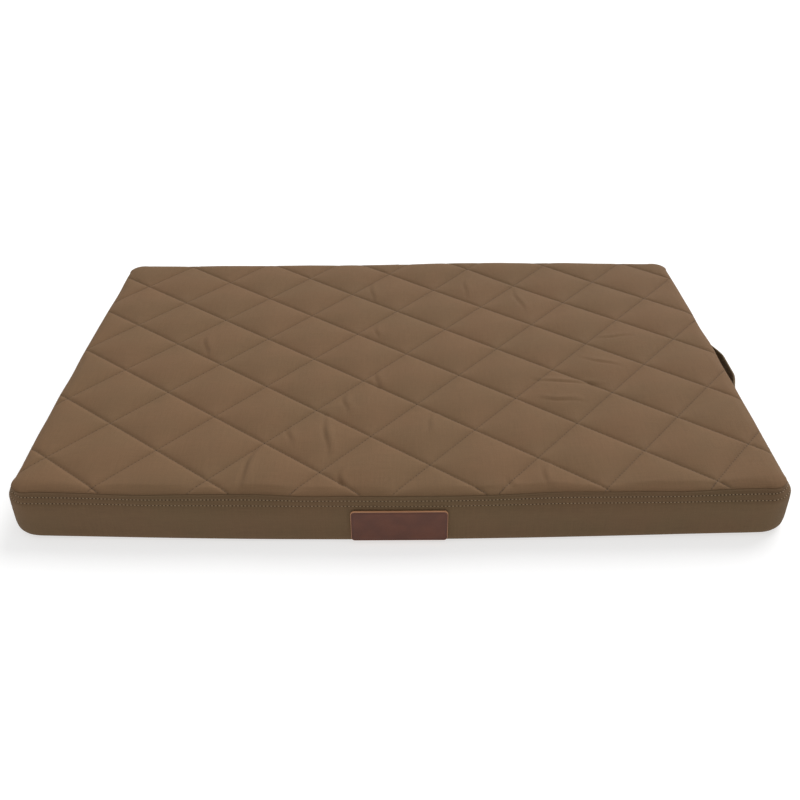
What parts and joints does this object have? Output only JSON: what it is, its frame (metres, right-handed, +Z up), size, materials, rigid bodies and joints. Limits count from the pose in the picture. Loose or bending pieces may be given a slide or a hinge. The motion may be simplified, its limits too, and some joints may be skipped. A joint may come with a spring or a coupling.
{
  "type": "pet cushion bed",
  "caption": "Flat rectangular foam bed for a dog in a canvas cover with a diamond-quilted top, plain side band, leather label, side carry strap and a zip along the back.",
  "frame": {"origin": "middle of the base, where the bed lies on the floor", "axes": "+Z up; +X to the right along the bed's width; the front side, with the label, faces -Y"},
  "size_m": [1.0292, 0.7037, 0.08],
  "materials": {
    "top_canvas": "matte",
    "band_canvas": "matte",
    "base_canvas": "matte",
    "batting": "matte",
    "liner_cloth": "matte",
    "comfort_foam": "matte",
    "support_foam": "matte",
    "label_leather": "satin",
    "strap_canvas": "matte",
    "zip_tape": "matte",
    "zip_coil": "satin",
    "zip_metal": "satin"
  },
  "bodies": {
    "bed": {"support_foam": "support_foam", "comfort_foam": "comfort_foam", "liner_tray": "liner_cloth", "liner_lid": "liner_cloth", "quilt_face": "top_canvas", "quilt_batting": "batting", "quilt_backing": "batting", "side_band": "band_canvas", "back_band_upper": "band_canvas", "back_band_lower": "band_canvas", "base_panel": "base_canvas", "zip_tape_upper": "zip_tape", "zip_tape_lower": "zip_tape", "zip_coil_upper": "zip_coil", "zip_coil_lower": "zip_coil", "zip_stop_left": "zip_metal", "zip_stop_right": "zip_metal", "zip_end_tab_left": "band_canvas", "zip_end_tab_right": "band_canvas", "leather_label": "label_leather", "handle_end_front": "strap_canvas", "handle_end_rear": "strap_canvas", "handle_patch_front": "band_canvas", "handle_patch_rear": "band_canvas"},
    "slider": {"zip_slider": "zip_metal"},
    "pull": {"zip_pull": "zip_metal"},
    "strap": {"handle_strap": "strap_canvas"}
  },
  "joints": [
    {"name": "zip_slide", "type": "slide", "parent": "bed", "child": "slider", "axis": [-1, 0, 0], "range_m": [0, 0.817]},
    {"name": "zip_pull_hinge", "type": "hinge", "parent": "slider", "child": "pull", "pos_m": [0.4086, 0.3508, 0.038], "axis": [0, 0, -1], "range_deg": [0, 170]},
    {"name": "strap_swing", "type": "hinge", "parent": "bed", "child": "strap", "pos_m": [0.5088, 0, 0.041], "axis": [0, 1, 0], "range_deg": [-25, 25], "stiffness_Nm_per_rad": 0.05}
  ]
}
